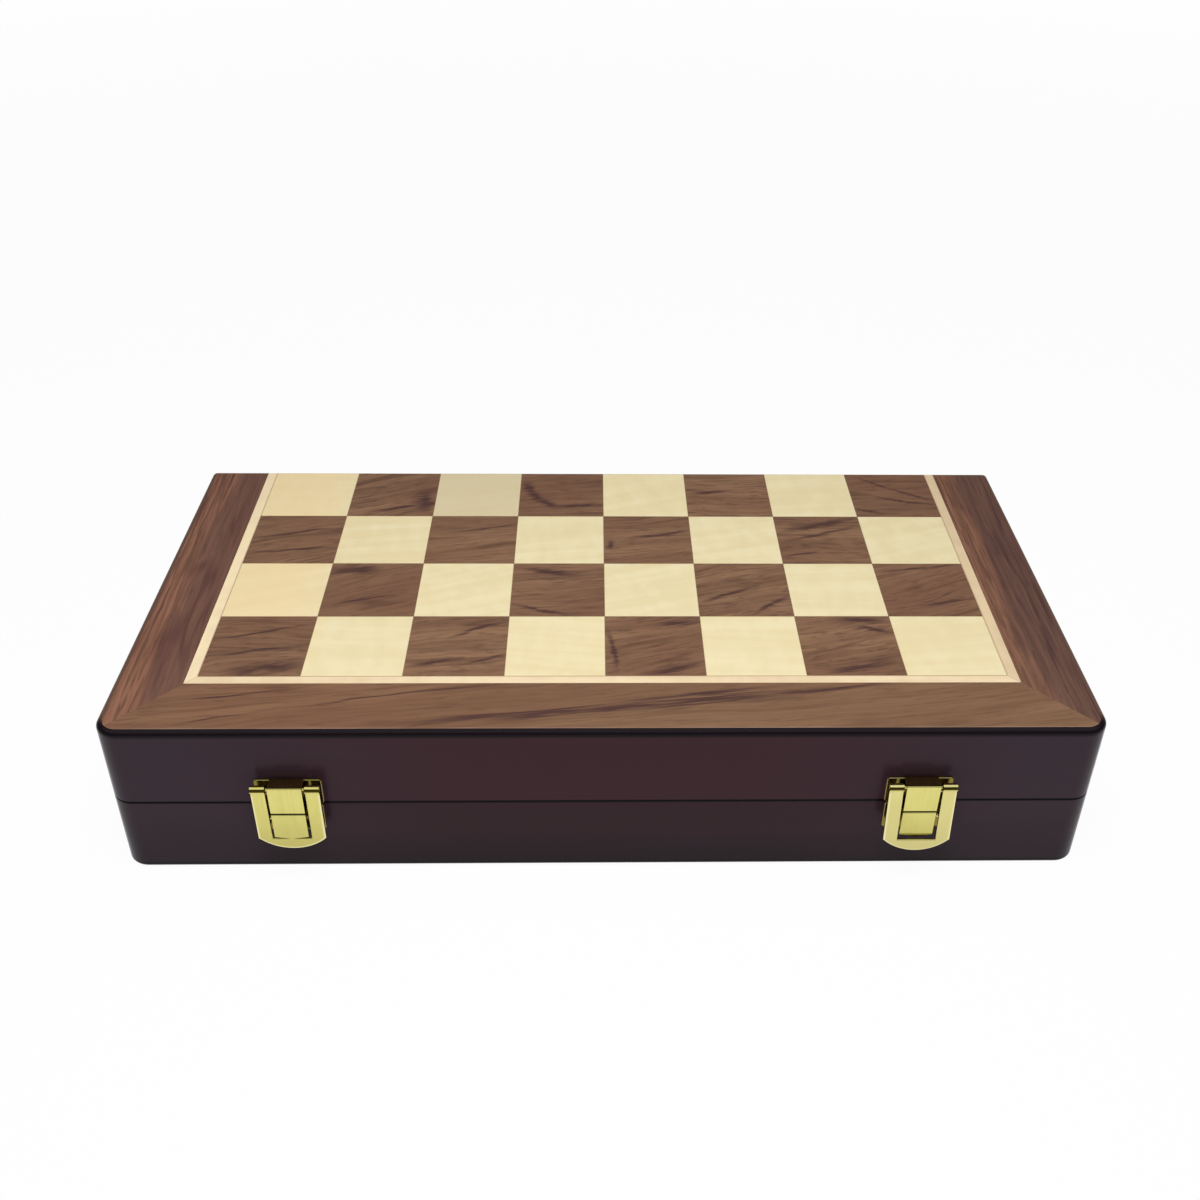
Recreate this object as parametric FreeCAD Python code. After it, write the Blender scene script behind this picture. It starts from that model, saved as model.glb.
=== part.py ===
import FreeCAD, Part
import math
import os

Vector = FreeCAD.Vector

# Folding chess board, closed as a case. Millimetres, +Z up, front at -Y, origin under its middle.

# Playing surface
square_size = 31.1
squares_across = 8
rows_per_half = 4
stringing_width = 3.4
side_border_width = 19.5
front_border_width = 21.0
veneer_thickness = 0.8

# Wooden case, two equal halves
rim_width = 1.8
rim_land = 0.2
half_height = 27.4
wall_thickness = 10.0
panel_thickness = 4.0
front_corner_radius = 7.0
back_corner_radius = 2.0
parting_chamfer = 0.25
glue_gap = 0.05
lining_thickness = 1.0
lining_margin = 0.5

# Middle of each hinge and latch, from the end of the case
fitting_end_inset = 54.6

# Brass butt hinges, let into the parting faces of the back walls
hinge_length = 30.0
hinge_leaf_inset = 2.0
hinge_sheet = 1.0
hinge_leaf_sink = 0.1
hinge_leaf_corner = 1.0
hinge_pin_radius = 1.0
hinge_pin_clearance = 0.04
hinge_pin_head = 0.3
knuckle_count = 5
knuckle_gap = 0.15
knuckle_groove_gap = 0.3
mortise_gap = 0.1
hinge_screw_inset = 6.0
screw_head_radius = 1.7
screw_head_sink = 0.05
screw_shank_radius = 0.8
screw_length = 9.0
screw_slot_width = 0.45
screw_slot_depth = 0.35

# Brass flap latches on the front
latch_sheet = 0.7
latch_inner_bend = 0.4
latch_fold_round = 0.3
latch_plate_width = 20.0
latch_plate_corner = 0.8
latch_plate_round = 0.25
latch_pin_radius = 0.5
latch_pin_clearance = 0.05
latch_pin_proud = 4.25
latch_pin_height = 9.2
latch_pin_inset = 0.2
keeper_shoulder_drop = 0.85
keeper_tongue_end = 0.7
keeper_plate_end = 0.3
flap_overhang = 0.15
flap_leg_width = 4.3
flap_set_back = 0.4
flap_side_rise = 0.1
flap_bow_depth = 4.2
flap_edge_round = 0.3
window_end = 10.1
tongue_side_gap = 0.75
tongue_edge_round = 0.2
catch_top_gap = 0.05
catch_shoulder_drop = 0.3
catch_plate_inset = 0.5
catch_plate_margin = 0.5
catch_nib_gap = 0.12
catch_nib_height = 0.3
catch_nib_width = 1.8
catch_edge_rise = 0.7
catch_dimple_radius = 0.8
catch_dimple_depth = 0.1
catch_dimple_drop = 6.0
right_flap_ajar = 5.5

# Round-headed brass nails of the latch plates
nail_head_radius = 1.2
nail_head_height = 0.6
nail_shank_radius = 0.5
nail_wood_left = 3.0

# Drilled holes are this much wider and deeper than the shanks in them
hole_clearance = 0.05
hole_extra_depth = 0.5

# Allowance by which cutting shapes pass the faces they cut, the largest share of a sheet that a
# rounded edge takes, and the tolerance for picking edges
overcut = 1.0
fillet_share = 0.45
tolerance = 1e-4

field_half_width = squares_across * square_size / 2
side_margin = stringing_width + side_border_width + rim_width
front_margin = stringing_width + front_border_width + rim_width
case_half_width = field_half_width + side_margin
case_depth = rows_per_half * square_size + front_margin
case_front = -case_depth / 2
case_back = case_depth / 2
field_front = case_back - rows_per_half * square_size
veneer_bottom = half_height - veneer_thickness
panel_bottom = veneer_bottom - panel_thickness
panel_half_width = case_half_width - rim_width - glue_gap
panel_front = case_front + rim_width + glue_gap
panel_corner_radius = front_corner_radius - rim_width - glue_gap
rim_radius = rim_width - rim_land
fitting_reach = case_half_width - fitting_end_inset

knuckle_radius = hinge_pin_radius + hinge_pin_clearance + hinge_sheet
knuckle_groove_radius = knuckle_radius + knuckle_groove_gap
knuckle_pitch = hinge_length / knuckle_count
mortise_depth = hinge_leaf_sink + hinge_sheet
hinge_leaf_width = wall_thickness - hinge_leaf_inset
hinge_screw_y = case_back - (knuckle_groove_radius + hinge_leaf_width) / 2
screw_face = hinge_leaf_sink + screw_head_sink

latch_barrel_radius = latch_pin_radius + latch_pin_clearance + latch_sheet
latch_face = latch_pin_proud + latch_barrel_radius
flap_face = latch_face - flap_set_back
latch_bend = latch_inner_bend + latch_sheet
keeper_top = latch_pin_height + latch_barrel_radius
keeper_shoulder_height = keeper_top - keeper_shoulder_drop
flap_side_end = window_end - flap_side_rise
flap_arc_end = flap_side_end + flap_bow_depth
edge_round_limit = fillet_share * latch_sheet
flap_width = latch_plate_width + 2 * flap_overhang
catch_plate_width = latch_plate_width - 2 * catch_plate_inset
window_width = flap_width - 2 * flap_leg_width
tongue_width = window_width - 2 * tongue_side_gap
nib_tip = window_end - catch_nib_gap
nib_root = nib_tip - catch_nib_height
catch_corner = nib_root - catch_edge_rise
catch_plate_end = nib_tip + catch_plate_margin
nail_offset = (tongue_width + latch_plate_width) / 4
nail_length = wall_thickness - nail_wood_left
keeper_nail_height = (keeper_plate_end + keeper_shoulder_height) / 2
catch_nail_drop = (catch_shoulder_drop + catch_plate_end) / 2


def upright_block(half_width, front, back, bottom, top, front_radius=0.0, back_radius=0.0):
    """Block with its front and back upright corners rounded."""
    size = (2 * half_width, back - front, top - bottom)
    block = Part.makeBox(*size, Vector(-half_width, front, bottom))
    for edge_y, radius in ((front, front_radius), (back, back_radius)):
        if radius > 0:
            uprights = [e for e in block.Edges
                        if is_upright(e) and abs(e.CenterOfMass.y - edge_y) < tolerance]
            block = block.makeFillet(radius, uprights)
    return block


def is_upright(edge):
    box = edge.BoundBox
    return box.XLength < tolerance and box.YLength < tolerance


def is_level(edge, height):
    box = edge.BoundBox
    return abs(box.ZMin - height) < tolerance and abs(box.ZMax - height) < tolerance


def outline(start, *steps):
    """Closed flat face. Each step is the next corner, or a middle and an end point of an arc."""
    edges = []
    here = start
    for step in steps:
        if isinstance(step, tuple):
            middle, end = step
            edges.append(Part.Arc(here, middle, end).toShape())
        else:
            end = step
            edges.append(Part.LineSegment(here, end).toShape())
        here = end
    edges.append(Part.LineSegment(here, start).toShape())
    return Part.Face(Part.Wire(edges))


def rod(x0, x1, y, height, radius):
    """Round bar along X."""
    return Part.makeCylinder(radius, x1 - x0, Vector(x0, y, height), Vector(1, 0, 0))


def place(shape, half):
    """Move from the parting face to the closed case: the lower half is the upper one turned over."""
    if half == "lower":
        shape = shape.mirror(Vector(0, 0, 0), Vector(0, 0, 1))
    return shape.translated(Vector(0, 0, half_height))


# Wooden case

def case_blank():
    """Outside form of one half: rounded front corners, rounded rim on three sides, sharp fold edge."""
    size = (case_half_width, case_front, case_back, 0, half_height)
    blank = upright_block(*size, front_corner_radius)
    rim = [e for e in blank.Edges
           if is_level(e, half_height) and e.CenterOfMass.y < case_back - tolerance]
    blank = blank.makeFillet(rim_radius, rim)
    blank = blank.common(upright_block(*size, 0, back_corner_radius))
    parting = [e for e in blank.Edges if is_level(e, 0)]
    return blank.makeChamfer(parting_chamfer, parting)


def side_prisms(side_reach, front_reach, bottom, top):
    """Upright prisms that part a frame of these widths: mitred in front, sides run through at the back."""
    outer = 2 * case_half_width
    inner = case_half_width - side_reach
    front_inner = case_front + front_reach
    back_inner = case_back - side_reach
    near = front_inner - front_reach * (outer - inner) / side_reach
    far = case_back + overcut
    corners = {
        "front": ((-outer, near), (outer, near), (inner, front_inner), (-inner, front_inner)),
        "left": ((-outer, near), (-inner, front_inner), (-inner, far), (-outer, far)),
        "right": ((outer, near), (inner, front_inner), (inner, far), (outer, far)),
        "back": ((-inner, back_inner), (inner, back_inner), (inner, far), (-inner, far)),
    }
    lift = Vector(0, 0, top - bottom + 2 * overcut)
    prisms = {}
    for side, points in corners.items():
        face = outline(*[Vector(x, y, bottom - overcut) for x, y in points])
        prisms[side] = face.extrude(lift)
    return prisms


def hinge_cutters():
    """Room for both hinges in one back wall: leaf mortises, knuckle grooves and screw holes."""
    cutters = []
    for centre in hinge_centres():
        half_length = hinge_length / 2 + mortise_gap
        inner = case_back - hinge_leaf_width - mortise_gap
        corner = Vector(centre - half_length, inner, -overcut)
        size = (2 * half_length, case_back - inner + overcut, mortise_depth + overcut)
        cutters.append(Part.makeBox(*size, corner))
        half_groove = hinge_length / 2 + hinge_pin_head + mortise_gap
        ends = (centre - half_groove, centre + half_groove)
        cutters.append(rod(*ends, case_back, 0, knuckle_groove_radius))
        cutters += [screw_hole(x) for x in hinge_screw_places(centre)]
    return cutters


def nail_cutters(height):
    """Holes for the latch nails in one front wall."""
    depth = nail_length + hole_extra_depth
    radius = nail_shank_radius + hole_clearance
    return [Part.makeCylinder(radius, depth, Vector(x, case_front, height), Vector(0, 1, 0))
            for x in nail_places()]


def case_walls(nail_height):
    """The four walls of one half, with the rebate that carries the panel."""
    frame = case_blank()
    top = half_height + overcut
    inside = upright_block(case_half_width - wall_thickness, case_front + wall_thickness,
                           case_back - wall_thickness, -overcut, top)
    rebate = upright_block(case_half_width - rim_width, case_front + rim_width,
                           case_back + overcut, panel_bottom, top, front_corner_radius - rim_width)
    for cutter in [inside, rebate] + hinge_cutters() + nail_cutters(nail_height):
        frame = frame.cut(cutter)
    prisms = side_prisms(wall_thickness, wall_thickness, 0, half_height)
    return {side + "_wall": frame.common(prism) for side, prism in prisms.items()}


# Panel and veneers

def panel_block(bottom, top):
    """Slab that fills the rebate between the three rims and runs out to the fold edge."""
    return upright_block(panel_half_width, panel_front, case_back, bottom, top, panel_corner_radius)


def field_block(grown):
    """Slab of veneer over the squares, widened on its three framed sides."""
    return upright_block(field_half_width + grown, field_front - grown, case_back,
                         veneer_bottom, half_height)


def board_veneers(dark_remainder):
    """Mitred border and stringing, and the squares of one half in two woods."""
    whole = panel_block(veneer_bottom, half_height)
    layers = {
        "border": whole.cut(field_block(stringing_width)),
        "stringing": field_block(stringing_width).cut(field_block(0)),
    }
    prisms = side_prisms(side_margin, front_margin, veneer_bottom, half_height)
    veneers = {}
    for layer, frame in layers.items():
        for side in ("front", "left", "right"):
            veneers[layer + "_" + side] = frame.common(prisms[side])
    squares = {0: [], 1: []}
    for column in range(squares_across):
        for row in range(rows_per_half):
            left = column * square_size - field_half_width
            near = field_front + row * square_size
            corner = Vector(left, near, veneer_bottom)
            tile = Part.makeBox(square_size, square_size, veneer_thickness, corner)
            squares[(column + row) % 2].append(tile)
    veneers["dark_squares"] = Part.makeCompound(squares[dark_remainder])
    veneers["light_squares"] = Part.makeCompound(squares[1 - dark_remainder])
    return veneers


def felt_lining():
    """Felt sheet on the inside of the panel."""
    inset = wall_thickness + lining_margin
    return upright_block(case_half_width - inset, case_front + inset, case_back - inset,
                         panel_bottom - lining_thickness, panel_bottom)


# Hinges

def hinge_centres():
    return (-fitting_reach, fitting_reach)


def hinge_screw_places(centre):
    reach = hinge_length / 2 - hinge_screw_inset
    return (centre - reach, centre + reach)


def knuckle_span(centre, index):
    """Ends of one knuckle along the barrel, with the running gap taken off where it meets another."""
    start = centre - hinge_length / 2 + index * knuckle_pitch
    end = start + knuckle_pitch
    if index > 0:
        start += knuckle_gap / 2
    if index < knuckle_count - 1:
        end -= knuckle_gap / 2
    return start, end


def hinge_leaf(centre, first_knuckle):
    """Leaf with every second knuckle rolled from it, bored for the pin and sunk for its screws."""
    left = centre - hinge_length / 2
    inner = case_back - hinge_leaf_width
    notch = case_back - knuckle_groove_radius
    leaf = Part.makeBox(hinge_length, notch - inner, hinge_sheet, Vector(left, inner, hinge_leaf_sink))
    corners = [e for e in leaf.Edges if is_upright(e) and abs(e.CenterOfMass.y - inner) < tolerance]
    leaf = leaf.makeFillet(hinge_leaf_corner, corners)
    for index in range(first_knuckle, knuckle_count, 2):
        start, end = knuckle_span(centre, index)
        corner = Vector(start, notch, hinge_leaf_sink)
        strap = Part.makeBox(end - start, case_back - notch, hinge_sheet, corner)
        leaf = leaf.fuse([strap, rod(start, end, case_back, 0, knuckle_radius)])
    leaf = leaf.removeSplitter()
    leaf = leaf.cut(rod(left, left + hinge_length, case_back, 0, hinge_pin_radius + hinge_pin_clearance))
    for x in hinge_screw_places(centre):
        leaf = leaf.cut(screw_hole(x))
    return leaf


def countersunk(x, face, length, grown):
    """Countersunk screw form pointing up into the wall, with its cone carried out to the given face."""
    cone_top = screw_face + screw_head_radius - screw_shank_radius
    tip = screw_face + length
    head = screw_head_radius + screw_face - face + grown
    shank = screw_shank_radius + grown
    profile = outline(Vector(0, 0, face), Vector(head, 0, face), Vector(shank, 0, cone_top),
                      Vector(shank, 0, tip - screw_shank_radius), Vector(0, 0, tip))
    return profile.revolve(Vector(0, 0, 0), Vector(0, 0, 1), 360).translated(Vector(x, hinge_screw_y, 0))


def screw_hole(x):
    """Hole that takes a screw with its head sunk in the leaf."""
    return countersunk(x, 0, screw_length + hole_extra_depth, hole_clearance)


def hinge_screws():
    """The four slotted screws of one half."""
    screws = []
    for centre in hinge_centres():
        for x in hinge_screw_places(centre):
            slot = Part.makeBox(screw_slot_width, 4 * screw_head_radius, screw_slot_depth + overcut,
                                Vector(-screw_slot_width / 2, -2 * screw_head_radius, -overcut))
            slot = slot.translated(Vector(x, hinge_screw_y, screw_face))
            screws.append(countersunk(x, screw_face, screw_length, 0).cut(slot))
    return Part.makeCompound(screws)


def hinge_pin(centre):
    """Pin through all knuckles, with a low round head at each end."""
    left = centre - hinge_length / 2
    right = centre + hinge_length / 2
    pin = rod(left, right, case_back, 0, hinge_pin_radius)
    head_radius = (hinge_pin_radius + knuckle_radius) / 2
    for start in (left - hinge_pin_head, right):
        pin = pin.fuse(rod(start, start + hinge_pin_head, case_back, 0, head_radius))
    return pin.removeSplitter()


# Latches

def latch_centres():
    return {"left": -fitting_reach, "right": fitting_reach}


def nail_places():
    return [centre + side * nail_offset for centre in latch_centres().values() for side in (-1, 1)]


def wall_point(x, proud, height):
    """Point at a distance out from the front wall."""
    return Vector(x, case_front - proud, height)


def on_bend(x, proud, height, radius, degrees):
    """Point on a bend seen from the side: 0 degrees points out from the wall and 90 degrees up."""
    turn = math.radians(degrees)
    return wall_point(x, proud + radius * math.cos(turn), height + radius * math.sin(turn))


def bend(x, proud, height, radius, start, end):
    """Middle and end point of a bend between two directions."""
    return (on_bend(x, proud, height, radius, (start + end) / 2), on_bend(x, proud, height, radius, end))


def hooked_strip(x, top, plate_end, tongue_end):
    """Sheet strip that climbs the wall, turns out over a bend and is folded down sharply as a tongue."""
    front_proud = latch_face - latch_fold_round
    front_height = top - latch_fold_round
    back_height = top - latch_bend
    inner_back = latch_bend - latch_sheet
    side = outline(
        wall_point(x, 0, plate_end),
        wall_point(x, 0, back_height),
        bend(x, latch_bend, back_height, latch_bend, 180, 90),
        wall_point(x, front_proud, top),
        bend(x, front_proud, front_height, latch_fold_round, 90, 0),
        wall_point(x, latch_face, tongue_end),
        wall_point(x, latch_face - latch_sheet, tongue_end),
        wall_point(x, latch_face - latch_sheet, top - latch_sheet),
        wall_point(x, latch_bend, top - latch_sheet),
        bend(x, latch_bend, back_height, inner_back, 90, 180),
        wall_point(x, latch_sheet, plate_end),
    )
    return side.extrude(Vector(tongue_width, 0, 0))


def wall_plate(centre, width, low, high):
    """Flat plate on the wall with its four corners and its front edge rounded."""
    front = case_front - latch_sheet
    plate = Part.makeBox(width, latch_sheet, high - low, Vector(centre - width / 2, front, low))
    across = [e for e in plate.Edges if abs(e.BoundBox.YLength - latch_sheet) < tolerance]
    plate = plate.makeFillet(latch_plate_corner, across)
    around = [e for e in plate.Edges if abs(e.BoundBox.YMax - front) < tolerance]
    return plate.makeFillet(min(latch_plate_round, edge_round_limit), around)


def drilled(plate, centre, height):
    """Plate with its two nail holes."""
    for side in (-1, 1):
        x = centre + side * nail_offset
        start = Vector(x, case_front - latch_sheet - overcut, height)
        radius = nail_shank_radius + hole_clearance
        plate = plate.cut(Part.makeCylinder(radius, latch_sheet + 2 * overcut, start, Vector(0, 1, 0)))
    return plate


def soften_tongue(shape, low, high):
    """Round the two long edges of the tongue's front face."""
    long_edges = [e for e in shape.Edges
                  if is_upright(e) and abs(e.CenterOfMass.y - (case_front - latch_face)) < tolerance
                  and low - tolerance < e.CenterOfMass.z < high + tolerance]
    return shape.makeFillet(min(tongue_edge_round, edge_round_limit), long_edges)


def latch_keeper(centre):
    """Upper fitting: wall plate and a tongue that is folded over the flap's pin."""
    left = centre - tongue_width / 2
    strip = hooked_strip(left, keeper_top, keeper_plate_end, keeper_tongue_end)
    strip = soften_tongue(strip, keeper_tongue_end, keeper_top)
    plate = wall_plate(centre, latch_plate_width, keeper_plate_end, keeper_shoulder_height)
    return drilled(plate.fuse(strip).removeSplitter(), centre, keeper_nail_height)


def latch_catch(centre):
    """Lower fitting: wall plate and a hooked tongue with a nib at its free edge."""
    half = tongue_width / 2
    strip = hooked_strip(centre - half, -catch_top_gap, -catch_plate_end, -nib_tip)
    strip = soften_tongue(strip, -nib_tip, -catch_top_gap)
    behind = latch_face - 2 * latch_sheet
    edge = outline(
        wall_point(centre - half - overcut, behind, -catch_corner),
        wall_point(centre - half, behind, -catch_corner),
        wall_point(centre - catch_nib_width / 2, behind, -nib_root),
        wall_point(centre, behind, -nib_tip),
        wall_point(centre + catch_nib_width / 2, behind, -nib_root),
        wall_point(centre + half, behind, -catch_corner),
        wall_point(centre + half + overcut, behind, -catch_corner),
        wall_point(centre + half + overcut, behind, -nib_tip - overcut),
        wall_point(centre - half - overcut, behind, -nib_tip - overcut),
    )
    strip = strip.cut(edge.extrude(Vector(0, -3 * latch_sheet, 0)))
    dimple_proud = latch_face + catch_dimple_radius - catch_dimple_depth
    dimple = Part.makeSphere(catch_dimple_radius, wall_point(centre, dimple_proud, -catch_dimple_drop))
    strip = strip.cut(dimple)
    plate = wall_plate(centre, catch_plate_width, -catch_plate_end, -catch_shoulder_drop)
    return drilled(plate.fuse(strip).removeSplitter(), centre, -catch_nail_drop)


def latch_flap(centre, ajar):
    """Swinging flap: two legs that hang from barrels on the pin, joined below by a curved bow."""
    half = flap_width / 2
    inner = window_width / 2
    back = flap_face - latch_sheet
    face = outline(
        wall_point(centre - half, back, latch_pin_height),
        wall_point(centre - half, back, -flap_side_end),
        (wall_point(centre, back, -flap_arc_end), wall_point(centre + half, back, -flap_side_end)),
        wall_point(centre + half, back, latch_pin_height),
        wall_point(centre + inner, back, latch_pin_height),
        wall_point(centre + inner, back, -window_end),
        wall_point(centre - inner, back, -window_end),
        wall_point(centre - inner, back, latch_pin_height),
    )
    flap = face.extrude(Vector(0, -latch_sheet, 0))
    rim = [e for e in flap.Edges
           if abs(e.BoundBox.YMax - (case_front - flap_face)) < tolerance
           and e.CenterOfMass.z < latch_pin_height - tolerance]
    flap = flap.makeFillet(min(flap_edge_round, edge_round_limit), rim)
    pin_y = case_front - latch_pin_proud
    barrels = [rod(centre - half, centre - inner, pin_y, latch_pin_height, latch_barrel_radius),
               rod(centre + inner, centre + half, pin_y, latch_pin_height, latch_barrel_radius)]
    flap = flap.fuse(barrels).removeSplitter()
    bore = rod(centre - half - overcut, centre + half + overcut, pin_y, latch_pin_height,
               latch_pin_radius + latch_pin_clearance)
    flap = flap.cut(bore)
    flap.rotate(Vector(centre, pin_y, latch_pin_height), Vector(-1, 0, 0), ajar)
    return flap


def latch_pin(centre):
    """Pin inside the flap's barrels and behind the keeper's fold."""
    half = flap_width / 2 - latch_pin_inset
    pin_y = case_front - latch_pin_proud
    return rod(centre - half, centre + half, pin_y, latch_pin_height, latch_pin_radius)


def latch_nails(height):
    """Round-headed nails of both latch plates on one half."""
    dome_radius = (nail_head_radius ** 2 + nail_head_height ** 2) / (2 * nail_head_height)
    half_turn = math.asin(nail_head_radius / dome_radius) / 2
    crown = Vector(0, -nail_head_height, 0)
    dome_middle = Vector(dome_radius * math.sin(half_turn),
                         dome_radius * (1 - math.cos(half_turn)) - nail_head_height, 0)
    tip = latch_sheet + nail_length
    profile = outline(crown, (dome_middle, Vector(nail_head_radius, 0, 0)),
                      Vector(nail_shank_radius, 0, 0),
                      Vector(nail_shank_radius, tip - nail_shank_radius, 0), Vector(0, tip, 0))
    nail = profile.revolve(Vector(0, 0, 0), Vector(0, 1, 0), 360)
    return Part.makeCompound([nail.translated(Vector(x, case_front - latch_sheet, height))
                              for x in nail_places()])


# All nodes of the part, in place

def build_nodes():
    nodes = {}
    halves = {
        "upper": {"dark_remainder": 0, "first_knuckle": 1, "nail_height": keeper_nail_height},
        "lower": {"dark_remainder": 1, "first_knuckle": 0, "nail_height": catch_nail_drop},
    }
    for half, choice in halves.items():
        pieces = case_walls(choice["nail_height"])
        pieces["board_panel"] = panel_block(panel_bottom, veneer_bottom)
        pieces.update(board_veneers(choice["dark_remainder"]))
        pieces["felt_lining"] = felt_lining()
        for name, shape in pieces.items():
            nodes[half + "_" + name] = place(shape, half)
        for side, centre in zip(("left", "right"), hinge_centres()):
            leaf = hinge_leaf(centre, choice["first_knuckle"])
            nodes["hinge_" + side + "_" + half + "_leaf"] = place(leaf, half)
        nodes["hinge_" + half + "_screws"] = place(hinge_screws(), half)
    for side, centre in zip(("left", "right"), hinge_centres()):
        nodes["hinge_" + side + "_pin"] = place(hinge_pin(centre), "upper")
    ajar = {"left": 0.0, "right": right_flap_ajar}
    for side, centre in latch_centres().items():
        prefix = "latch_" + side + "_"
        nodes[prefix + "keeper"] = place(latch_keeper(centre), "upper")
        nodes[prefix + "flap"] = place(latch_flap(centre, ajar[side]), "upper")
        nodes[prefix + "pin"] = place(latch_pin(centre), "upper")
        nodes[prefix + "catch"] = place(latch_catch(centre), "upper")
    nodes["latch_upper_nails"] = place(latch_nails(keeper_nail_height), "upper")
    nodes["latch_lower_nails"] = place(latch_nails(-catch_nail_drop), "upper")
    return nodes


os.makedirs("parts", exist_ok=True)
for node, shape in build_nodes().items():
    solids = shape.Solids
    if not shape.isValid() or not solids or min(solid.Volume for solid in solids) <= 0:
        raise ValueError(node + " is not made of sound solids")
    shape.exportStep("parts/" + node + ".step")
    print(node, len(solids), round(shape.Volume, 2))
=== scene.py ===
import math

import bmesh
import bpy
from mathutils import Matrix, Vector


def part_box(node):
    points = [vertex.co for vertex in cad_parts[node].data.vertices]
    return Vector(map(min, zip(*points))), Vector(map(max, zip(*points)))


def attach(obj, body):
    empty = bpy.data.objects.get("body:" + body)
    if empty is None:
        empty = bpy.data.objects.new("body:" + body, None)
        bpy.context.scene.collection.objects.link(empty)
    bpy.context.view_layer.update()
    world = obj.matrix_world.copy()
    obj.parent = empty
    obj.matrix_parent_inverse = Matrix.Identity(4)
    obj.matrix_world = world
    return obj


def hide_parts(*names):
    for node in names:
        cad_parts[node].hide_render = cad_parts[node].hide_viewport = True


# Folding chess board, closed as a case: finishes, felt linings and studio. Metres, in the CAD frame.

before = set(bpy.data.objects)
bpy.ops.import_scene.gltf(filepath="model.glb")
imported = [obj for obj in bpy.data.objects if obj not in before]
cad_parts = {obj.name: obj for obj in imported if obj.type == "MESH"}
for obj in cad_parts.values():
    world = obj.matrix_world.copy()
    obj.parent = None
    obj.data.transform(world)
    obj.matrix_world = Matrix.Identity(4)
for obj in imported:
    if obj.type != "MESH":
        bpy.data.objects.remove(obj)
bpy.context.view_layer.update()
millimetre = 0.001

# Camera, as the photograph was taken: angles in degrees, lens and sensor in millimetres
camera_place = (-0.0043, -0.3661, 0.3077)
camera_elevation = 34.29
camera_turn = 1.76
camera_roll = 1.02
camera_lens = 39.48
camera_sensor = 36.0
camera_shift = (-0.0208, -0.0188)
camera_nearest = 0.01

# White table: its share of plain white by the case, and the distances where shadow and mirror image fade
table_size = 8.0
table_drop = 0.0002
table_white = 0.96
shadow_fade = (0.5, 2.0)
mirror_fade = (0.35, 0.80)
table_grey = (0.9, 0.9, 0.9, 1.0)
table_roughness = 0.9
plain_white = (1.0, 1.0, 1.0, 1.0)

# Lamp and dim room, with the degrees above the table where the backdrop ends and the ceiling begins
lamp_size = 0.3
lamp_place = (0.0, -0.22, 0.62)
lamp_power = 3.05
room_light = 0.10
backdrop_top = (1.0, 3.0)
ceiling_lit = (56.0, 68.0)
ceiling_mirrored = (40.0, 52.0)

# Veneer squares: their glue line, turns in radians, spread in the log and slack that keeps edges in a cell
squares_across = 8
glue_line = 0.00025
square_turn = (-0.40, 0.16)
square_spread = (3.0, 3.0, 40.0)
square_slack = 1e-4

# The one greyer maple square: its column, its row from the front, and 1 for the upper half
grey_square = (2, 3, 1)

# Dark lines and smoky marks in the upper walnut, seen from above
# Each has its middle in millimetres from the case's, degrees of climb, half its length and half its width
square_marks = (
    (-110, -26.7, 15, 15, 0.9), (-108, -36, 12, 15, 1.2), (-105, -44.5, 12, 11, 4.0),
    (-40.7, -24.7, 28, 10, 1.4), (-53.5, -42.7, 11, 7.5, 1.2), (-37, -40.5, 21, 8, 1.0),
    (2.8, -36.5, 98, 10, 1.2), (24, -21.7, 5, 7, 1.8), (21, -45.7, 14, 9.5, 1.8),
    (84, -20.2, 0, 9, 1.8), (87, -25, -10, 6, 2.0), (78.5, -45.6, 8, 9, 2.4),
    (-85, 8.3, 5, 9, 3.2), (-80, -8, 15, 10, 1.2),
    (-18.5, 8.3, -13, 10.5, 2.4), (-20, -14, -18, 10.5, 1.4),
    (41.2, -5.7, 27, 10, 1.2), (55.5, -10.9, 42, 8.5, 1.3),
    (109.5, 10.6, 7, 14, 1.0), (114, -9.7, 11, 10, 1.3),
    (-109.5, 32.5, 11, 14.5, 1.0), (-109.3, 22, 7, 15, 1.1),
    (-40.8, 36.1, 11, 9.5, 0.9), (20.5, 31.5, 15, 11, 1.6), (2.5, 25, 80, 3, 1.8),
    (78.5, 38.6, 18, 15, 2.2), (78.5, 32.3, 19, 14, 1.3), (69.7, 19.8, 20, 6.5, 1.0),
    (-66, 54.8, 88, 8, 5.0), (-74, 50.3, 11, 12, 1.3),
    (-27.6, 64.2, -75, 5, 2.5), (-25.2, 58.6, -56, 5, 3.0), (-20.5, 53.8, -30, 5.5, 3.0),
    (-9, 51.8, 0, 12, 2.3),
    (41, 61.8, 12, 8, 1.4), (113, 55.3, -15, 12, 1.0),
    (104, 68, -38, 7, 1.1), (116.5, 60, -28, 9, 1.1), (98, 48, -14, 6, 1.0),
)
border_marks = (
    (-114, -58, 9.5, 21, 0.6), (-115, -69, 13, 10, 0.6), (-63, -58.4, 9, 33, 0.6),
    (-30, -66.9, 7.5, 33, 1.9), (-17, -66.3, 9, 17, 3.0), (6, -63.4, 8, 20, 2.4),
    (32, -60.7, 7.1, 25, 3.4), (28, -57.7, 8.5, 25, 1.2), (66, -55.4, 7.1, 24, 1.6),
)

# How far the marks sway, how far they fray in half widths, and how dark they are
mark_sway = 0.0022
mark_fray = (-1.4, 1.6)
mark_strength = 0.96

# Grain of squares and borders: degrees that it is turned, place in the log, and how far it is drawn out
square_grain = -12.0
square_mark_seed = (0.0, 0.0, 3.0)
front_grain = -7.5
front_seed = (0.31, 0.17, 2.0)
side_grain = 89.0
stringing_seed = (0.0, 0.0, 1.0)
border_stretch = 1.6
border_mark_stretch = 2.0

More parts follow.
